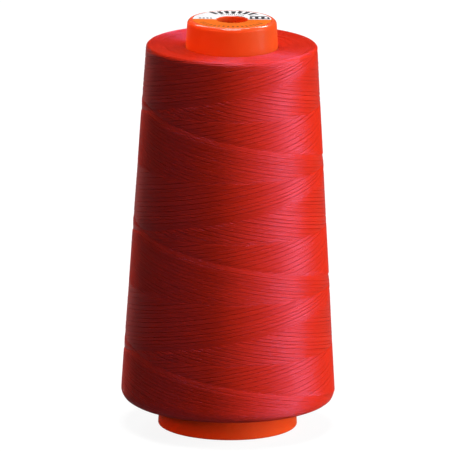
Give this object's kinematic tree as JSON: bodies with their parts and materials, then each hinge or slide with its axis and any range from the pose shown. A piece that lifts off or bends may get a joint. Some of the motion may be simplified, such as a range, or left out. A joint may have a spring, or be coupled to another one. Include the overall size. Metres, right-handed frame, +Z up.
{
  "type": "cone of sewing thread",
  "caption": "Large cross-wound cone of polyester sewing thread on a moulded conical tube with a ring label on its nose and a bore for a spool pin.",
  "frame": {"origin": "centre of the foot's lower face, on the surface that the cone stands on", "axes": "+Z up along the cone's axis, from the foot to the nose; +X to the right and +Y away from the viewer"},
  "size_m": [0.0636, 0.0636, 0.125],
  "materials": {
    "tube_plastic": "glossy injection-moulded orange-red polypropylene",
    "label_paper": "smooth coated paper",
    "thread": "cross-wound spun polyester thread with a soft sheen"
  },
  "bodies": {
    "root": {"cone_tube": "tube_plastic", "nose_label": "label_paper", "thread_core": "thread", "outer_windings": "thread"}
  },
  "joints": []
}
